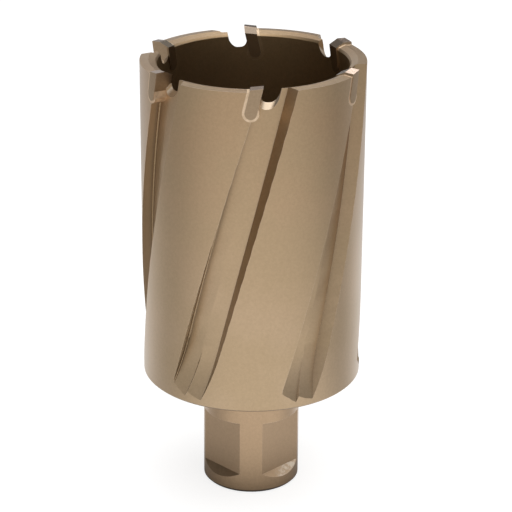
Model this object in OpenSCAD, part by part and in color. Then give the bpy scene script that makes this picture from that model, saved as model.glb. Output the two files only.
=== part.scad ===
// Annular cutter with brazed carbide tips, standing on its shank with its teeth up.
// Millimetres. Origin at the centre of the shank's end face, +Z along the axis to the teeth.
// The front is the -Y side, midway between the two clamping flats.

/* [Shank] */
// Diameter of the round shank
shank_d = 19.05; // [16:0.05:32]
// Length of the shank from its end face to the body's shoulder
shank_len = 23.8; // [20:0.1:40]
// Width of the bevel round the shank's end
shank_bevel = 0.4; // [0.1:0.05:1]
// Diameter of the bore that guides the pilot pin
pilot_d = 8; // [5:0.1:10]

/* [Clamping flats] */
// Angle between the two flats, seen along the axis
flat_spread = 90; // [75:1:180]
// Depth of each flat below the shank's round
flat_depth = 1.4; // [0.8:0.05:2]
// Height of each flat's lower edge above the shank's end
flat_low = 4; // [3:0.1:6]
// Length of each flat along the shank
flat_len = 11.2; // [8:0.1:13]
// Slope of the ramp below each flat, in degrees from level
flat_ramp = 45; // [30:1:55]

/* [Body] */
// Diameter of the fluted body
body_d = 42.8; // [38:0.1:60]
// Length of the body from its shoulder to the crest of the rim
body_len = 63.5; // [58:0.1:80]
// Width of the bevel round the body's lower edge
body_bevel = 0.3; // [0.1:0.05:1]
// Thickness of the wall round the cup
wall = 3.25; // [2.8:0.05:5]
// Depth of the cup below the crest of the rim
cup_depth = 52; // [40:0.5:54]
// Width of the bevel in the corner of the cup's floor
cup_corner = 1.5; // [0.5:0.1:4]

/* [Rim] */
// Distance from the body's outside to the crest of the rim
crest_inset = 1.7; // [1:0.05:2]
// Fall of the rim from its crest to the outside
rim_outer_fall = 0.15; // [0:0.01:0.5]
// Fall of the rim from its crest to the bevel at the cup's mouth
rim_inner_fall = 0.37; // [0.1:0.01:0.6]
// Width of the bevel at the cup's mouth
mouth_bevel = 0.3; // [0.1:0.05:0.6]
// Height of the bevel at the cup's mouth
mouth_bevel_h = 0.47; // [0.1:0.01:1]

/* [Flutes] */
// Number of teeth, each with its own flute, gullet and tip
tooth_count = 6; // [4:1:8]
// Turn of the first flute's rake edge from the front, at the rim
tooth_turn = 3.4; // [-30:0.1:30]
// Width of each flute round the body's outside, at the rim
flute_w = 6.9; // [5:0.05:9]
// Depth of each flute
flute_depth = 2.2; // [1:0.05:2.4]
// Lead of the helix of the rake edge
rake_lead = 452; // [300:1:900]
// Lead of the helix of the heel edge
heel_lead = 487; // [300:1:900]
// Undercut of the rake wall from the radial direction
rake_hook = 17; // [0:1:25]
// Radius in the corner between the rake wall and the flute's floor
rake_corner = 0.4; // [0.2:0.05:0.8]
// Slope of the heel wall from the radial direction
heel_slope = 25; // [0:1:40]
// Width of the second milling pass, the one along the heel
heel_pass_w = 4.5; // [3:0.05:4.7]
// Width of the step between the two passes at their lower ends
step_w = 0.3; // [0.05:0.01:0.4]
// Height of the flutes' lowest point above the body's shoulder
flute_rise = 1.3; // [0.8:0.1:10]
// Length by which the first pass ends higher along the rake edge than along the step
rake_pass_skew = 1.95; // [0:0.05:3]
// Length by which the second pass ends higher along the step than along the heel
heel_pass_skew = 1.15; // [0:0.05:3]
// Diameter of the milling wheel, which gives the run-out at the flutes' lower ends
wheel_d = 50; // [30:1:100]

/* [Gullets] */
// Width of each gullet through the rim
gullet_w = 3.5; // [3:0.05:5]
// Depth of each gullet below the rim's crest, at the cup's wall
gullet_depth = 3.25; // [2:0.05:4]
// Radius in the corners of each gullet's floor
gullet_r = 1.4; // [0.5:0.05:1.45]
// Slope of each gullet's floor down towards the flute
gullet_slope = 45; // [30:1:50]

/* [Carbide tips] */
// Distance that each tip stands out from the body's outside
tip_outer_proud = 0.1; // [0.05:0.05:0.5]
// Distance that each tip stands into the cup from the cup's wall
tip_inner_proud = 0.25; // [0.1:0.05:0.5]
// Width of each tip along the rim
tip_w = 2.25; // [1.8:0.05:3]
// Depth of each tip's rounded foot below the rim's crest
tip_seat = 5.1; // [4.5:0.05:7]
// Height of each cutting edge above the rim's crest
tip_rise = 0.65; // [0.3:0.05:1.5]
// Lean of the tips and gullets along the helix
tip_lean = 13; // [8:0.5:20]
// Distance round the body from the flute's rake edge back to each tip's radial line
tip_setback = 1.75; // [1.5:0.05:2]
// Distance of each tip's rake face ahead of its radial line, at the rim
tip_ahead = 2.1; // [1.85:0.05:2.4]
// Fall of a tip's top from its crest to the outside, in degrees
tip_outer_fall = 3; // [0:0.5:10]
// Fall of a tip's top from its crest to the inside, in degrees
tip_inner_fall = 24; // [10:1:35]
// Relief of a tip's top behind its cutting edge, in degrees
tip_relief = 6; // [2:0.5:12]

/* [Braze] */
// Width of the braze round the back and foot of each tip
braze_w = 0.45; // [0.2:0.05:0.8]
// Height to which the braze runs up in front of each tip, above the middle of its foot
braze_rise = 1.2; // [0.4:0.05:2]

/* [Hidden] */

$fn = 96;
front_azimuth = -90;
// Length by which a cutting shape runs past what it cuts
past = 3;
// Length by which a gullet reaches behind the rake face of its tip
gullet_overlap = 0.16;
// Slices of a flute along its run-out and along its plain stretch
runout_slices = 10;
plain_slices = 13;
// Slices of the round corner at the foot of a flute's rake wall
corner_slices = 3;
// Slices of the arc round a tip's foot
foot_slices = 16;

shank_r = shank_d / 2;
flat_top = flat_low + flat_len;
body_r = body_d / 2;
cup_r = body_r - wall;
crest_r = body_r - crest_inset;
tip_outer_r = body_r + tip_outer_proud;
tip_inner_r = cup_r - tip_inner_proud;
rim_z = shank_len + body_len;
cup_floor_z = rim_z - cup_depth;
mouth_z = rim_z - rim_inner_fall;
lip_z = mouth_z - mouth_bevel_h;

wheel_r = wheel_d / 2;
runout_len = sqrt(2 * wheel_r * flute_depth - flute_depth * flute_depth);
flute_len = body_len - flute_rise;
flute_outer_r = body_r + past;
runout_start = flute_len - runout_len - max(rake_pass_skew, heel_pass_skew);
runout_stop = flute_len + past / 4;
heel_foot = flute_depth * tan(heel_slope);

tip_back = tip_ahead - tip_w;
// Side of a gullet and depth of its floor, square to its lean
gullet_side = tip_ahead - gullet_overlap;
gullet_bed = (gullet_depth - (gullet_side + gullet_w / 2) * sin(tip_lean)) / cos(tip_lean);
foot_r = tip_w / 2;
foot_y = tip_ahead - foot_r;
foot_z = foot_r - tip_seat;
braze_r = foot_r + braze_w;

function tip_name(k) = str("carbide_tip_", k);
function seam_name(k) = str("braze_seam_", k);

// Angle in degrees of an arc's length at a radius
function arc_angle(length, radius) = length / radius * 180 / PI;
function polar(radius, angle) = [radius * cos(angle), radius * sin(angle)];
function tooth_azimuth(k) = front_azimuth + tooth_turn + (k - 1) * 360 / tooth_count;

// Radius of a flute's floor at a depth below the rim, for a milling pass that ends at a given depth
function wheel_lift(below, end) = max(0, runout_len - (end - below));
function floor_r(below, end) =
    body_r - flute_depth + wheel_r - sqrt(wheel_r * wheel_r - pow(wheel_lift(below, end), 2));

// Depths below the rim at which a flute's section is set out, from its lower end up
flute_stations = concat(
    [for (i = [0 : runout_slices - 1]) runout_stop + (runout_start - runout_stop) * i / runout_slices],
    [for (i = [0 : plain_slices]) runout_start - (runout_start + past) * i / plain_slices]
);

// Point at a radius on a flute's rake wall, or a length ahead of it
function rake_wall(radius, rake, ahead = 0) =
    polar(radius, rake + arc_angle((radius - body_r) * tan(rake_hook) + ahead, body_r));

// Section of a flute, from the outer end of its rake wall round to the outer end of its heel wall
function flute_section(below) = let (
    rake = -below * 360 / rake_lead,
    heel = arc_angle(flute_w, body_r) - below * 360 / heel_lead,
    split = heel - arc_angle(heel_pass_w, body_r),
    half_step = arc_angle(step_w / 2, body_r),
    foot = heel - arc_angle(heel_foot, body_r),
    foot_floor_r = floor_r(below, flute_len),
    heel_end = foot + arc_angle((flute_outer_r - foot_floor_r) * tan(heel_slope), body_r),
    rake_floor_r = floor_r(below, flute_len - rake_pass_skew)
) concat(
    [rake_wall(flute_outer_r, rake)],
    [
        for (i = [0 : corner_slices])
            let (turn = 90 * i / corner_slices)
            rake_wall(rake_floor_r + rake_corner * (1 - sin(turn)), rake, rake_corner * (1 - cos(turn)))
    ],
    [
        polar(floor_r(below, flute_len), split - half_step),
        polar(floor_r(below, flute_len - heel_pass_skew), split + half_step),
        polar(foot_floor_r, foot),
        polar(flute_outer_r, heel_end)
    ]
);

// Arc round a tip's foot from its back to its front, in the plane across the radius
function foot_arc(radius) = [
    for (i = [0 : foot_slices])
        let (angle = 180 + 180 * i / foot_slices)
        [foot_y + radius * cos(angle), foot_z + radius * sin(angle)]
];
function reversed(points) = [for (i = [len(points) - 1 : -1 : 0]) points[i]];

tip_outline = concat([[tip_back, past]], foot_arc(foot_r), [[tip_ahead, past]]);
// The braze thins out to nothing in front of the tip
braze_edge = concat([[tip_back - braze_w, past]], foot_arc(braze_r), [[tip_ahead, foot_z + braze_rise]]);
seat_outline = concat(braze_edge, [[tip_ahead, past]]);
seam_outline = concat(braze_edge, reversed(foot_arc(foot_r)), [[tip_back, past]]);

module at_tooth(k) {
    rotate([0, 0, tooth_azimuth(k)]) children();
}

// Frame of a tip: X radial, Y ahead of the tip, origin on the axis at the rim's crest
module at_tip(k, lean = tip_lean) {
    at_tooth(k)
        rotate([0, 0, -arc_angle(tip_setback, body_r)])
        translate([0, 0, rim_z])
        rotate([-lean, 0, 0])
        children();
}

// The blank before milling, with its seam at the back
module turned_blank() {
    rotate([0, 0, -front_azimuth])
        rotate_extrude()
        polygon([
            [pilot_d / 2, 0],
            [shank_r - shank_bevel, 0],
            [shank_r, shank_bevel],
            [shank_r, shank_len],
            [body_r - body_bevel, shank_len],
            [body_r, shank_len + body_bevel],
            [body_r, rim_z - rim_outer_fall],
            [crest_r, rim_z],
            [cup_r + mouth_bevel, mouth_z],
            [cup_r, lip_z],
            [cup_r, cup_floor_z + cup_corner],
            [cup_r - cup_corner, cup_floor_z],
            [pilot_d / 2, cup_floor_z]
        ]);
}

module clamping_flat(azimuth) {
    flat_x = shank_r - flat_depth;
    outer_x = shank_r + past;
    rotate([0, 0, azimuth])
        rotate([90, 0, 0])
        linear_extrude(shank_d, center = true)
        polygon([
            [flat_x, flat_low],
            [outer_x, flat_low - (outer_x - flat_x) * tan(flat_ramp)],
            [outer_x, flat_top],
            [flat_x, flat_top]
        ]);
}

// A helical flute milled in two passes that run out side by side above the shoulder
module flute() {
    corners = len(flute_section(0));
    last = len(flute_stations) - 1;
    points = [
        for (below = flute_stations)
            for (p = flute_section(below)) [p[0], p[1], rim_z - below]
    ];
    faces = concat(
        [[for (i = [corners - 1 : -1 : 0]) i]],
        [
            for (s = [0 : last - 1])
                for (i = [0 : corners - 1])
                    let (
                        a = s * corners + i,
                        b = s * corners + (i + 1) % corners
                    )
                    each [[a, b, b + corners], [a, b + corners, a + corners]]
        ],
        [[for (i = [0 : corners - 1]) last * corners + i]]
    );
    polyhedron(points, faces);
}

// A round-cornered slot through the rim that falls outwards into the flute
module gullet() {
    slot_back = -2 * past;
    slot_len = 3 * past;
    slot_h = 3 * past;
    translate([cup_r, gullet_side, -gullet_bed])
        rotate([0, gullet_slope, 0])
        translate([slot_back, 0, 0]) {
            for (y = [gullet_r, gullet_w - gullet_r])
                translate([0, y, gullet_r]) rotate([0, 90, 0]) cylinder(r = gullet_r, h = slot_len);
            translate([0, gullet_r, 0]) cube([slot_len, gullet_w - 2 * gullet_r, slot_h]);
            translate([0, 0, gullet_r]) cube([slot_len, gullet_w, slot_h]);
        }
}

// A bar along the radius through the wall, with the given outline seen from outside
module radial_bar(outline) {
    translate([cup_r - past, 0, 0])
        rotate([90, 0, 90])
        linear_extrude(wall + 2 * past)
        polygon(outline);
}

// Everything above a facet of a tip's top, which falls by the given angle along the radius
module above_facet(fall) {
    reach = 4 * past;
    translate([crest_r, tip_ahead, tip_rise])
        rotate([tip_relief, 0, 0])
        rotate([0, fall, 0])
        translate([-reach, -reach, 0])
        cube([2 * reach, 2 * reach, reach]);
}

module tip_solid(k) {
    difference() {
        at_tip(k) radial_bar(tip_outline);
        at_tip(k, 0) above_facet(tip_outer_fall);
        at_tip(k, 0) above_facet(-tip_inner_fall);
        cylinder(r = tip_inner_r, h = rim_z + 2 * past);
        difference() {
            cylinder(r = tip_outer_r + 2 * past, h = rim_z + 2 * past);
            cylinder(r = tip_outer_r, h = rim_z + 2 * past);
        }
    }
}

module cutter_body() {
    color("#a88d6f")
        difference() {
            turned_blank();
            for (side = [-1, 1]) clamping_flat(front_azimuth + side * flat_spread / 2);
            for (k = [1 : tooth_count]) {
                at_tooth(k) flute();
                at_tip(k) gullet();
                at_tip(k) radial_bar(seat_outline);
            }
        }
}

module carbide_tip(k) {
    color("#8d7f78") tip_solid(k);
}

module braze_seam(k) {
    color("#d8bd9a")
        intersection() {
            turned_blank();
            at_tip(k) radial_bar(seam_outline);
        }
}

cutter_body();
for (k = [1 : tooth_count]) carbide_tip(k);
for (k = [1 : tooth_count]) braze_seam(k);
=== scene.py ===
"""Looks of the annular cutter: its bronze coated body, carbide tips and braze, on a pale studio floor."""

import math

import bmesh
import bpy
from mathutils import Matrix, Vector


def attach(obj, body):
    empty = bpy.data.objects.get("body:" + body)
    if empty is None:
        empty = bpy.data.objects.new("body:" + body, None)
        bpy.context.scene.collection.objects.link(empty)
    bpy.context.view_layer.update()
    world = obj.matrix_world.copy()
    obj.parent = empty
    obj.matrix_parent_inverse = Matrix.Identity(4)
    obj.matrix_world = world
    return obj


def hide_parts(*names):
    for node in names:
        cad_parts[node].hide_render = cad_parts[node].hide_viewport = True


MM = 0.001

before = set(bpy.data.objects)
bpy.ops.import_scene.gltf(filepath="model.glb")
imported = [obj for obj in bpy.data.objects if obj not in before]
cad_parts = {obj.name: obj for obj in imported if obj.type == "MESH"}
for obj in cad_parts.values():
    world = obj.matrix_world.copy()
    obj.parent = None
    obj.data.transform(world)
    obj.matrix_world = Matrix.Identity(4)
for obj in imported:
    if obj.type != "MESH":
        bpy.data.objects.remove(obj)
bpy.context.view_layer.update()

# The cutter's turned form
BODY_R = 21.4 * MM
CUP_R = 18.15 * MM
CREST_R = 19.7 * MM
RIM_Z = 87.3 * MM
SHOULDER_Z = 23.8 * MM

# The flutes, as they are milled in the CAD model
TEETH = 6
TOOTH_AZIMUTH = math.radians(-90 + 3.4)
FLUTE_W = 6.9 * MM
FLUTE_DEPTH = 2.2 * MM
FLUTE_LEN = 62.2 * MM
RAKE_LEAD = 452 * MM
HEEL_LEAD = 487 * MM
RAKE_HOOK = math.tan(math.radians(17))
RAKE_CORNER = 0.4 * MM
CORNER_SLICES = 3
HEEL_SLOPE = math.tan(math.radians(25))
HEEL_PASS_W = 4.5 * MM
STEP_W = 0.3 * MM
RAKE_PASS_SKEW = 1.95 * MM
HEEL_PASS_SKEW = 1.15 * MM
WHEEL_R = 25 * MM
FLUTE_OUTER_R = BODY_R + 3 * MM
RUNOUT_LEN = math.sqrt(2 * WHEEL_R * FLUTE_DEPTH - FLUTE_DEPTH ** 2)

# The gullets, as they are milled in the CAD model
TIP_SETBACK = 1.75 * MM
TIP_LEAN = math.radians(13)
GULLET_W = 3.5 * MM
GULLET_R = 1.4 * MM
GULLET_SIDE = 1.94 * MM
GULLET_DEPTH = 3.25 * MM
GULLET_SLOPE = math.radians(45)
GULLET_BED = (GULLET_DEPTH - (GULLET_SIDE + GULLET_W / 2) * math.sin(TIP_LEAN)) / math.cos(TIP_LEAN)

# The part of a gullet that faces up this far is bare metal
GULLET_BARE = 0.35
# A flute's face that faces ahead this far is on its rake side, and if it also faces in this far,
# it is the hooked wall
RAKE_AHEAD = 0.3
RAKE_INWARD = 0.15

# How near a face lies to the form that it was cut from, and how nearly it faces the same way
FLUTE_GAP = 0.05 * MM
GULLET_GAP = 0.03 * MM
TURNED_GAP = 0.012 * MM
TURNED_LEAN = 0.985
CUT_TURN = math.cos(math.radians(24))
TURNED_TURN = math.cos(math.radians(9))
SMOOTH_ANGLE = math.radians(26)
MERGE_GAP = 0.0005 * MM
SLIVER_GAP = 0.0002 * MM


# Shader maths

class Socket:
    """An output of a finish's node, so that shader maths is written as an expression."""

    def __init__(self, finish, output):
        self.finish = finish
        self.output = output

    def _math(self, operation, first, second):
        return self.finish.node("ShaderNodeMath", {"operation": operation}, {0: first, 1: second})

    def __add__(self, other):
        return self._math("ADD", self, other)

    def __radd__(self, other):
        return self._math("ADD", other, self)

    def __sub__(self, other):
        return self._math("SUBTRACT", self, other)

    def __rsub__(self, other):
        return self._math("SUBTRACT", other, self)

    def __mul__(self, other):
        return self._math("MULTIPLY", self, other)

    def __rmul__(self, other):
        return self._math("MULTIPLY", other, self)

    def __truediv__(self, other):
        return self._math("DIVIDE", self, other)

    def ramp(self, low, high):
        """0 below low, 1 above high, and smooth between them."""
        return self.finish.node(
            "ShaderNodeMapRange",
            {"interpolation_type": "SMOOTHSTEP"},
            {"Value": self, "From Min": low, "From Max": high, "To Min": 0.0, "To Max": 1.0},
        )


class Finish:
    """The node tree of a finish on the cutter, of the floor or of the studio."""

    def __init__(self, tree):
        self.tree = tree
        tree.nodes.clear()

    def node(self, kind, settings=None, inputs=None, out=0):
        made = self.tree.nodes.new(kind)
        for name, value in (settings or {}).items():
            setattr(made, name, value)
        for name, value in (inputs or {}).items():
            if isinstance(value, Socket):
                self.tree.links.new(value.output, made.inputs[name])
            else:
                made.inputs[name].default_value = value
        return Socket(self, made.outputs[out]) if len(made.outputs) else made

    def mix(self, factor, first, second):
        """A colour that goes from first to second."""
        return self.node("ShaderNodeMix", {"data_type": "RGBA"}, {0: factor, 6: first, 7: second}, out=2)

    def noise(self, place, scale, detail, rough):
        return self.node(
            "ShaderNodeTexNoise",
            {"noise_dimensions": "3D"},
            {"Vector": place, "Scale": scale, "Detail": detail, "Roughness": rough},
        )

    def along(self, vector, axis):
        """One coordinate of a vector."""
        return self.node("ShaderNodeSeparateXYZ", {}, {"Vector": vector}, out=axis)

    def mark(self, name):
        """A face's own mark, such as that of a bare gullet floor."""
        return self.node("ShaderNodeAttribute", {"attribute_name": name}, out="Fac")

    def bump(self, strength, distance, height):
        inputs = {"Strength": strength, "Distance": distance, "Height": height}
        return self.node("ShaderNodeBump", {}, inputs)

    def metal(self, sockets):
        """Ends the finish with a metal that has the given sockets."""
        shader = self.node("ShaderNodeBsdfPrincipled", {}, {"Metallic": 1.0, **sockets})
        self.node("ShaderNodeOutputMaterial", {}, {"Surface": shader})


def surface_finish(name):
    material = bpy.data.materials.new(name)
    material.use_nodes = True
    return material, Finish(material.node_tree)


def rgb(red, green, blue):
    return (red, green, blue, 1.0)


def edge_wear_and_highlight(f, width):
    """How far a place is round a sharp edge, for rubbed wear and a painted highlight there: 0 on open
    faces, near 1 on the edge.
    """
    rounded = f.node("ShaderNodeBevel", {"samples": 4}, {"Radius": width})
    plain = f.node("ShaderNodeNewGeometry", out="Normal")
    facing = f.node(
        "ShaderNodeVectorMath", {"operation": "DOT_PRODUCT"}, {0: rounded, 1: plain}, out="Value"
    )
    return (1.0 - facing).ramp(0.01, 0.16)


def corner_shade(f, reach):
    """How far a place lies in an inner corner, where shade is painted: 0 on open faces, near 1 in the
    corner.
    """
    open_sky = f.node(
        "ShaderNodeAmbientOcclusion", {"samples": 6, "only_local": True}, {"Distance": reach}, out="AO"
    )
    return (1.0 - open_sky).ramp(0.15, 0.75)


def facing_up(f):
    """How far a place faces up: 1 on level tops and 0 on upright sides."""
    normal = f.node("ShaderNodeNewGeometry", out="Normal")
    return f.along(normal, "Z").ramp(0.45, 0.65)


def radius_from_axis(f, place):
    flat = f.node("ShaderNodeVectorMath", {"operation": "MULTIPLY"}, {0: place, 1: (1.0, 1.0, 0.0)})
    return f.node("ShaderNodeVectorMath", {"operation": "LENGTH"}, {0: flat}, out="Value")


def outside_cup(f, place):
    """1 on the outside of the cutter and 0 inside its cup."""
    return radius_from_axis(f, place).ramp(CUP_R - 0.05 * MM, CUP_R + 0.25 * MM)


def blasted_grain(f, place):
    """The fine grain and the coarser specks that blasting leaves."""
    return f.noise(place, 5200.0, 2.0, 0.6), f.noise(place, 1900.0, 3.0, 0.6)


def coated_steel():
    """Satin bronze coating over finely blasted steel, pale along its edges from rubbing and a painted
    highlight.
    """
    material, f = surface_finish("bronze_coated_steel")
    place = f.node("ShaderNodeTexCoord", out="Object")
    height = f.along(place, "Z")
    grain, speck = blasted_grain(f, place)
    cloud = f.noise(place, 60.0, 3.0, 0.5)
    rings = f.node("ShaderNodeVectorMath", {"operation": "MULTIPLY"}, {0: place, 1: (0.03, 0.03, 1.0)})
    turning = f.noise(rings, 5000.0, 2.0, 0.6)
    bright_cut = f.mark("bright_cut")
    rake_wall = f.mark("rake_wall")
    rake_corner = f.mark("rake_corner")

    # The coating, from the shank up to the rim and down into the cup, where it is painted dark brown as
    # painted shade
    tone = (0.6 * speck + 0.4 * grain).ramp(0.3, 0.7)
    shank = f.mix(tone, rgb(0.465, 0.316, 0.186), rgb(0.530, 0.364, 0.218))
    tan = f.mix(tone, rgb(0.480, 0.345, 0.211), rgb(0.547, 0.397, 0.247))
    bronze = f.mix(tone, rgb(0.460, 0.306, 0.168), rgb(0.522, 0.350, 0.198))
    olive = f.mix(tone, rgb(0.440, 0.312, 0.174), rgb(0.498, 0.356, 0.204))
    cup_shade_brown = f.mix(tone, rgb(0.310, 0.205, 0.095), rgb(0.370, 0.245, 0.120))
    rake_grey = rgb(0.56, 0.53, 0.46)
    upper = height.ramp(SHOULDER_Z, RIM_Z)
    body = f.mix(0.6 * cloud.ramp(0.38, 0.62), f.mix(upper, tan, bronze), olive)
    outer = f.mix(height.ramp(SHOULDER_Z - 0.3 * MM, SHOULDER_Z + 0.3 * MM), shank, body)
    inside = (1.0 - outside_cup(f, place)) * height.ramp(SHOULDER_Z, SHOULDER_Z + 5 * MM)
    coating = f.mix(0.5 * rake_wall, f.mix(inside, outer, cup_shade_brown), rake_grey)

    # Painted shade in the inner corners, creases and rake corners, and the bare floors of the gullets
    corner_shade_brown = rgb(0.150, 0.130, 0.105)
    crease_shade_brown = rgb(0.060, 0.048, 0.036)
    rake_corner_shade_brown = rgb(0.15, 0.11, 0.075)
    bare_steel = rgb(0.59, 0.465, 0.335)
    # Ambient occlusion darkens the colour in corners and creases: painted shade
    corner_shade_mask = corner_shade(f, 1.6 * MM)
    shaded = f.mix(0.7 * corner_shade_mask, coating, corner_shade_brown)
    creased = f.mix(corner_shade(f, 0.5 * MM), shaded, crease_shade_brown)
    # The rake corners are painted darker: painted shade
    cornered = f.mix(0.15 * rake_corner, creased, rake_corner_shade_brown)
    milled = f.mix(bright_cut, cornered, bare_steel)

    # A painted shadow along the foot's edge, a painted highlight on the one ramp on the shank's right,
    # and the edges, pale from rubbed wear and a painted highlight
    foot_shadow_black = rgb(0.05, 0.042, 0.035)
    ramp_highlight_pale = rgb(0.84, 0.76, 0.64)
    pale_edge_highlight = rgb(0.80, 0.65, 0.49)
    foot = 1.0 - height.ramp(0.42 * MM, 0.66 * MM)
    ramps = facing_up(f) * (1.0 - height.ramp(4.6 * MM, 5.0 * MM))
    patch = f.noise(place, 900.0, 3.0, 0.6).ramp(0.40, 0.60)
    # The right ramp is painted pale and mottled: a painted highlight
    ramp_highlight = ramps * f.along(place, "X").ramp(4.6 * MM, 6.0 * MM) * (0.10 + 0.50 * patch)
    patchy = 0.45 + 0.55 * speck.ramp(0.35, 0.65)
    # The edges are pale partly from rubbed wear and partly as a painted highlight
    wear_and_highlight = edge_wear_and_highlight(f, 0.14 * MM) * patchy * (1.0 - corner_shade_mask.ramp(0.02, 0.2))
    # The foot's edge is painted near black: a painted shadow
    foot_shadowed = f.mix(0.9 * foot, milled, foot_shadow_black)
    ramp_highlit = f.mix(ramp_highlight, foot_shadowed, ramp_highlight_pale)
    colour = f.mix(0.65 * wear_and_highlight * (1.0 - foot), ramp_highlit, pale_edge_highlight)

    f.metal(
        {
            "Base Color": colour,
            "Roughness": 0.36 + 0.08 * speck + 0.05 * cloud - 0.08 * wear_and_highlight,
            "Normal": f.bump(0.28, 0.012 * MM, 0.6 * grain + 0.8 * speck + 0.5 * turning),
            "Coat Weight": 0.8 * (1.0 - rake_corner),
            "Coat Roughness": 0.35,
        }
    )
    return material


def ground_carbide():
    """Carbide with coated sides, freshly ground tops, painted shade on the inner tops and inside the cup,
    and pale edges from wear and a painted highlight.
    """
    material, f = surface_finish("ground_carbide")
    place = f.node("ShaderNodeTexCoord", out="Object")
    grain, speck = blasted_grain(f, place)
    tone = (0.6 * speck + 0.4 * grain).ramp(0.3, 0.7)
    coated = f.mix(tone, rgb(0.390, 0.280, 0.178), rgb(0.450, 0.328, 0.215))
    outer_bare = f.mix(tone, rgb(0.465, 0.345, 0.268), rgb(0.555, 0.420, 0.330))
    # The inner tops are a darker copy of the ground carbide: painted shade
    inner_shade_bare = f.mix(tone, rgb(0.195, 0.152, 0.114), rgb(0.245, 0.192, 0.145))
    left_highlight_bare = rgb(0.52, 0.43, 0.33)
    # Inside the cup the tips are painted dark brown: painted shade
    cup_shade_brown = rgb(0.260, 0.172, 0.095)
    pale_edge_highlight = rgb(0.78, 0.65, 0.52)
    # The inner tops of the two tips on the left are painted paler: a painted highlight
    left_tips_highlight = (-1.0 * f.along(place, "X")).ramp(9 * MM, 14 * MM)
    inner_bare = f.mix(0.75 * left_tips_highlight, inner_shade_bare, left_highlight_bare)
    past_crest = radius_from_axis(f, place).ramp(CREST_R - 0.1 * MM, CREST_R + 0.1 * MM)
    tops = f.mix(past_crest, inner_bare, outer_bare)
    sides = f.mix(outside_cup(f, place), cup_shade_brown, coated)
    ground = facing_up(f)
    # The edges are pale partly from wear and partly as a painted highlight
    wear_and_highlight = edge_wear_and_highlight(f, 0.08 * MM)
    f.metal(
        {
            "Base Color": f.mix(0.5 * wear_and_highlight, f.mix(ground, sides, tops), pale_edge_highlight),
            "Roughness": 0.38 + 0.08 * speck - 0.24 * ground,
            "Normal": f.bump(0.3, 0.010 * MM, grain + speck),
        }
    )
    return material


def pale_braze():
    """Pale braze that has flowed round a tip."""
    material, f = surface_finish("pale_braze")
    place = f.node("ShaderNodeTexCoord", out="Object")
    flow = f.noise(place, 1400.0, 3.0, 0.55)
    tone = flow.ramp(0.35, 0.65)
    sides = f.mix(tone, rgb(0.72, 0.54, 0.365), rgb(0.86, 0.665, 0.47))
    tops = f.mix(tone, rgb(0.78, 0.62, 0.45), rgb(0.92, 0.77, 0.59))
    # Braze inside the cup that doesn't face up is painted dark brown: painted shade
    cup_shade_brown = rgb(0.34, 0.23, 0.12)
    level = facing_up(f)
    outside = outside_cup(f, place)
    f.metal(
        {
            "Base Color": f.mix(outside + (1.0 - outside) * level, cup_shade_brown, f.mix(level, sides, tops)),
            "Roughness": 0.42 + 0.14 * flow + 0.22 * level,
            "Normal": f.bump(0.5, 0.03 * MM, flow),
        }
    )
    return material


# True normals of the cut faces

def floor_radius(below, end):
    """Radius of a flute's floor at a depth below the rim, for a pass that ends at a given depth."""
    lift = max(0.0, RUNOUT_LEN - (end - below))
    return BODY_R - FLUTE_DEPTH + WHEEL_R - math.sqrt(max(0.0, WHEEL_R ** 2 - lift ** 2))


def on_arc(radius, length):
    """A point at a radius, and at an angle given by its arc's length on the body's outside."""
    angle = length / BODY_R
    return Vector((radius * math.cos(angle), radius * math.sin(angle)))


def flute_section(below):
    """Section of a flute, from the outer end of its rake wall round to the outer end of its heel wall."""
    rake = -below * math.tau / RAKE_LEAD * BODY_R
    heel = FLUTE_W - below * math.tau / HEEL_LEAD * BODY_R
    split = heel - HEEL_PASS_W
    foot = heel - FLUTE_DEPTH * HEEL_SLOPE
    foot_r = floor_radius(below, FLUTE_LEN)
    rake_r = floor_radius(below, FLUTE_LEN - RAKE_PASS_SKEW)
    section = [on_arc(FLUTE_OUTER_R, rake + (FLUTE_OUTER_R - BODY_R) * RAKE_HOOK)]
    for i in range(CORNER_SLICES + 1):
        turn = math.pi / 2 * i / CORNER_SLICES
        radius = rake_r + RAKE_CORNER * (1 - math.sin(turn))
        ahead = RAKE_CORNER * (1 - math.cos(turn))
        section.append(on_arc(radius, rake + (radius - BODY_R) * RAKE_HOOK + ahead))
    section.append(on_arc(foot_r, split - STEP_W / 2))
    section.append(on_arc(floor_radius(below, FLUTE_LEN - HEEL_PASS_SKEW), split + STEP_W / 2))
    section.append(on_arc(foot_r, foot))
    section.append(on_arc(FLUTE_OUTER_R, foot + (FLUTE_OUTER_R - foot_r) * HEEL_SLOPE))
    return section


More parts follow.
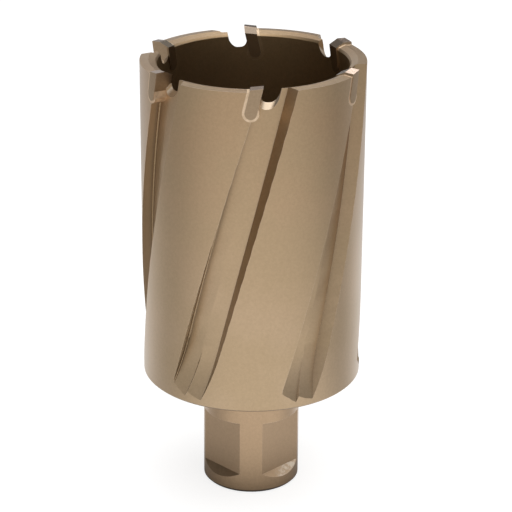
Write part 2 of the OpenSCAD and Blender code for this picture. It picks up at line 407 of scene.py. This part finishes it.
def flute_normal(co, facing):
    """True normal of a flute's surface at a point of the body, or None where no flute is."""
    below = RIM_Z - co.z
    azimuth = math.atan2(co.y, co.x) - TOOTH_AZIMUTH
    pitch = math.tau / TEETH
    tooth = round((azimuth + below * math.tau / RAKE_LEAD - FLUTE_W / BODY_R / 2) / pitch)
    turn = TOOTH_AZIMUTH + tooth * pitch
    home = Matrix.Rotation(-turn, 3, "Z")
    point = home @ co
    facing = home @ facing
    step = 0.05 * MM
    section, deeper, higher = (flute_section(depth) for depth in (below, below + step, below - step))
    normals = []
    for i in range(len(section) - 1):
        side = (section[i + 1] - section[i]).to_3d()
        along = (higher[i] - deeper[i] + higher[i + 1] - deeper[i + 1]).to_3d() / 2
        along.z = 2 * step
        normal = side.cross(along).normalized()
        normals.append(normal if normal.dot(facing) > 0 else -normal)
    best = FLUTE_GAP
    found = None
    for i, normal in enumerate(normals):
        if normal.dot(facing) < CUT_TURN:
            continue
        start = section[i]
        edge = section[i + 1] - start
        share = min(1.0, max(0.0, (point.xy - start).dot(edge) / edge.length_squared))
        gap = (point.xy - start - share * edge).length
        if gap < best:
            best = gap
            if 1 <= i <= CORNER_SLICES:
                share = (i - 1 + share) / CORNER_SLICES
                normal = normals[0].slerp(normals[CORNER_SLICES + 1], share)
            found = normal
    return Matrix.Rotation(turn, 3, "Z") @ found if found else None


def gullet_normal(co, facing):
    """True normal of a gullet's surface at a point of the body, or None where no gullet is."""
    for tooth in range(TEETH):
        azimuth = TOOTH_AZIMUTH + tooth * math.tau / TEETH - TIP_SETBACK / BODY_R
        seat = Matrix.Rotation(azimuth, 4, "Z") @ Matrix.Translation((0, 0, RIM_Z))
        seat = seat @ Matrix.Rotation(-TIP_LEAN, 4, "X")
        slot = seat @ Matrix.Translation((CUP_R, GULLET_SIDE, -GULLET_BED))
        slot = slot @ Matrix.Rotation(GULLET_SLOPE, 4, "Y")
        spot = slot.inverted() @ co
        across = min(max(spot.y, GULLET_R), GULLET_W - GULLET_R) - spot.y
        to_axis = Vector((0, across, max(0.0, GULLET_R - spot.z)))
        normal = slot.to_3x3() @ to_axis.normalized()
        if abs(to_axis.length - GULLET_R) < GULLET_GAP and normal.dot(facing) > CUT_TURN:
            return normal
    return None


def outward(co):
    """The way straight out from the cutter's axis at a point."""
    return Vector((co.x, co.y, 0)).normalized()


def turned_normal(co, face):
    """True normal at a corner of a turned face, or None where the face wasn't turned."""
    lean = face.normal.dot(outward(face.calc_center_median()))
    normal = (lean * outward(co) + Vector((0, 0, face.normal.z))).normalized()
    return normal if normal.dot(face.normal) > TURNED_TURN else None


def is_turned(face):
    """Whether a face lies on a surface of revolution round the cutter's axis."""
    spots = [Vector((v.co.xy.length, v.co.z)) for v in face.verts]
    lean = Vector((face.normal.dot(outward(face.calc_center_median())), face.normal.z))
    if lean.length < TURNED_LEAN:
        return False
    flat = all(abs((spot - spots[0]).dot(lean)) < TURNED_GAP for spot in spots)
    return flat and all(turned_normal(v.co, face) for v in face.verts)


def smooth_normal(corner):
    """Normal at a corner of a plain face, shared with the faces that meet it smoothly."""
    own = corner.face.normal
    smooth = [face for face in corner.vert.link_faces if face.normal.dot(own) > math.cos(SMOOTH_ANGLE)]
    return sum((face.calc_area() * face.normal for face in smooth), Vector()).normalized()


# Pieces

def cut_marks(face, milled, gullet):
    """Marks a gullet's bare floor, a flute's hooked rake wall and the corner at that wall's foot."""
    out = outward(face.calc_center_median())
    ahead = Vector((-out.y, out.x, 0))
    rake = milled and not gullet and face.normal.dot(ahead) > RAKE_AHEAD
    hooked = face.normal.dot(out) < -RAKE_INWARD
    return {
        "bright_cut": 1.0 if gullet and face.normal.z > GULLET_BARE else 0.0,
        "rake_wall": 1.0 if rake and hooked else 0.0,
        "rake_corner": 1.0 if rake and not hooked else 0.0,
    }


def dressed_copy(node, material):
    """A merged copy of a CAD node with its true normals, which replaces it."""
    shell = bmesh.new()
    shell.from_mesh(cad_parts[node].data)
    bmesh.ops.remove_doubles(shell, verts=shell.verts, dist=MERGE_GAP)
    bmesh.ops.dissolve_degenerate(shell, dist=SLIVER_GAP, edges=shell.edges)
    shell.normal_update()
    true_normals = []
    marks = {"bright_cut": [], "rake_wall": [], "rake_corner": []}
    for face in shell.faces:
        middle = face.calc_center_median()
        cup = node == "cutter_body" and middle.z > SHOULDER_Z
        gullet = cup and gullet_normal(middle, face.normal)
        turned = not gullet and is_turned(face)
        milled = cup and not turned
        for name, value in cut_marks(face, milled, gullet).items():
            marks[name].append(value)
        for corner in face.loops:
            true = None
            if turned:
                true = turned_normal(corner.vert.co, face)
            elif gullet:
                true = gullet_normal(corner.vert.co, face.normal)
            elif milled:
                true = flute_normal(corner.vert.co, face.normal)
            true_normals.append(true or smooth_normal(corner))
    mesh = bpy.data.meshes.new(node + "_dressed")
    shell.to_mesh(mesh)
    shell.free()
    for name, values in marks.items():
        mesh.attributes.new(name, "FLOAT", "FACE").data.foreach_set("value", values)
    for spare in ("custom_normal", "sharp_face", "sharp_edge"):
        if spare in mesh.attributes:
            mesh.attributes.remove(mesh.attributes[spare])
    mesh.shade_smooth()
    mesh.set_sharp_from_angle(angle=SMOOTH_ANGLE)
    mesh.normals_split_custom_set(true_normals)
    mesh.materials.clear()
    mesh.materials.append(material)
    piece = bpy.data.objects.new(node + "_dressed", mesh)
    bpy.context.scene.collection.objects.link(piece)
    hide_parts(node)
    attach(piece, "root")


steel = coated_steel()
carbide = ground_carbide()
braze = pale_braze()
for node in sorted(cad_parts):
    if node.startswith("carbide_tip"):
        dressed_copy(node, carbide)
    elif node.startswith("braze_seam"):
        dressed_copy(node, braze)
    else:
        dressed_copy(node, steel)


# Studio

FLOOR_HALF = 3.0
FLOOR_GREY = 0.4
# How far the floor is lifted towards white for the camera
FLOOR_FILL = 0.78
LIGHT_AIM = Vector((0, 0, 0.05))


def floor_sheen(f):
    """Painted light on the floor, seen only in the metal: a painted glow in front and behind, and painted
    shade close round the shank.
    """
    place = f.node("ShaderNodeTexCoord", out="Object")
    ahead = f.along(place, "Y")
    reach = f.node("ShaderNodeVectorMath", {"operation": "LENGTH"}, {0: place}, out="Value") + 0.001
    across = f.along(place, "X") / reach
    front = ((0.17 * f.along(place, "X") - 0.98 * ahead) / reach).ramp(-0.1, 1.0)
    rear = (ahead / reach).ramp(0.0, 0.75)
    near_right_glow = across.ramp(0.3, 1.0) * (1.0 - reach.ramp(36 * MM, 80 * MM))
    side = 0.165 - 0.065 * across + 0.25 * near_right_glow
    far_right = across.ramp(0.2, 0.9) * reach.ramp(130 * MM, 220 * MM)
    near_left = (-1.0 * across).ramp(0.3, 1.0) * (1.0 - reach.ramp(140 * MM, 200 * MM))
    edges = (0.56 + 0.1 * across) * rear + 0.06 * near_left - 0.10 * far_right
    # Painted shade on the floor close round the shank, and a painted fall-off far away
    near = reach.ramp(6 * MM, 34 * MM) * (0.74 + 0.26 * reach.ramp(85 * MM, 130 * MM))
    clear = near * (1.22 - 0.64 * reach.ramp(60 * MM, 240 * MM))
    return (side + 0.66 * front + edges) * clear


def studio_floor():
    sheet = bmesh.new()
    bmesh.ops.create_grid(sheet, x_segments=1, y_segments=1, size=FLOOR_HALF)
    mesh = bpy.data.meshes.new("studio_floor")
    sheet.to_mesh(mesh)
    sheet.free()
    floor = bpy.data.objects.new("studio_floor", mesh)
    bpy.context.scene.collection.objects.link(floor)
    material, f = surface_finish("pale_floor")
    camera = f.node("ShaderNodeLightPath", out="Is Camera Ray")
    glossy = f.node("ShaderNodeLightPath", out="Is Glossy Ray")
    through = f.node("ShaderNodeLightPath", out="Is Transmission Ray")
    lift = FLOOR_FILL * camera + (glossy + through) * floor_sheen(f)
    paper = f.node("ShaderNodeBsdfDiffuse", {}, {"Color": rgb(FLOOR_GREY, FLOOR_GREY, FLOOR_GREY)})
    glow = f.node("ShaderNodeEmission", {}, {"Color": rgb(1, 1, 1), "Strength": lift})
    both = f.node("ShaderNodeAddShader", {}, {0: paper, 1: glow})
    f.node("ShaderNodeOutputMaterial", {}, {"Surface": both})
    mesh.materials.append(material)


def soft_box(name, place, size, radiance):
    """A square soft light that faces the cutter, out of the camera's sight."""
    lamp = bpy.data.lights.new(name, "AREA")
    lamp.shape = "SQUARE"
    lamp.size = size
    lamp.energy = radiance * math.pi * size * size
    box = bpy.data.objects.new(name, lamp)
    box.visible_camera = False
    bpy.context.scene.collection.objects.link(box)
    aim = LIGHT_AIM - Vector(place)
    box.matrix_world = Matrix.Translation(place) @ aim.to_track_quat("-Z", "Y").to_matrix().to_4x4()


def studio_world():
    """A white background, and for the metal a grey studio that is brighter in front and behind."""
    world = bpy.data.worlds.new("studio")
    bpy.context.scene.world = world
    world.use_nodes = True
    f = Finish(world.node_tree)
    way = f.node("ShaderNodeTexCoord", out="Generated")
    right = f.along(way, "X")
    back = f.along(way, "Y")
    up = f.along(way, "Z")
    ahead = (-1.0 * back).ramp(0.0, 0.8)
    left_ahead = (-0.77 * right - 0.64 * back).ramp(0.5, 1.0)
    behind = back.ramp(0.0, 0.6) * up.ramp(0.1, 0.85)
    left_rear = back.ramp(0.6, 0.95) * (-1.0 * right).ramp(-0.05, 0.2) * (1.0 - up.ramp(0.3, 0.5))
    dark_left = (0.68 * up + 0.05 * back - 0.73 * right).ramp(0.78, 0.95)
    bright = 0.18 + 0.34 * ahead + 0.06 * left_ahead + 0.30 * behind + 0.6 * left_rear
    level = bright * (1.0 - 0.75 * dark_left)
    camera = f.node("ShaderNodeLightPath", out="Is Camera Ray")
    through = f.node("ShaderNodeLightPath", out="Is Transmission Ray")
    strength = level + (camera + through) * (1.0 - level)
    sky = f.node("ShaderNodeBackground", {}, {"Color": rgb(1, 1, 1), "Strength": strength})
    f.node("ShaderNodeOutputWorld", {}, {"Surface": sky})


studio_floor()
studio_world()
soft_box("overhead_light", (0.05, -0.05, 0.65), 0.85, 1.7)
soft_box("right_light", (0.55, 0.15, 0.50), 0.30, 1.1)
soft_box("rear_light", (0.06, 0.68, 0.49), 0.07, 3.0)


# Camera, fitted to the photograph's outline

FRAME_PX = 512.0
FOCAL_PX = 2018.0
SHIFT_PX = (3.87, 10.35)
SENSOR_MM = 36.0
AIM_Z = 0.045
STAND_OFF = 0.3951
TILT = math.radians(22.3)
ROLL = math.radians(0.347)

lens = bpy.data.cameras.new("camera")
lens.sensor_width = SENSOR_MM
lens.lens = FOCAL_PX / FRAME_PX * SENSOR_MM
lens.shift_x = SHIFT_PX[0] / FRAME_PX
lens.shift_y = SHIFT_PX[1] / FRAME_PX
lens.clip_start = 0.01
camera = bpy.data.objects.new("camera", lens)
bpy.context.scene.collection.objects.link(camera)
stand = Vector((0, 0, AIM_Z)) + STAND_OFF * Vector((0, -math.cos(TILT), math.sin(TILT)))
turn = Matrix.Rotation(math.pi / 2 - TILT, 4, "X") @ Matrix.Rotation(ROLL, 4, "Z")
camera.matrix_world = Matrix.Translation(stand) @ turn
bpy.context.scene.camera = camera

bpy.context.scene.view_settings.view_transform = "Standard"
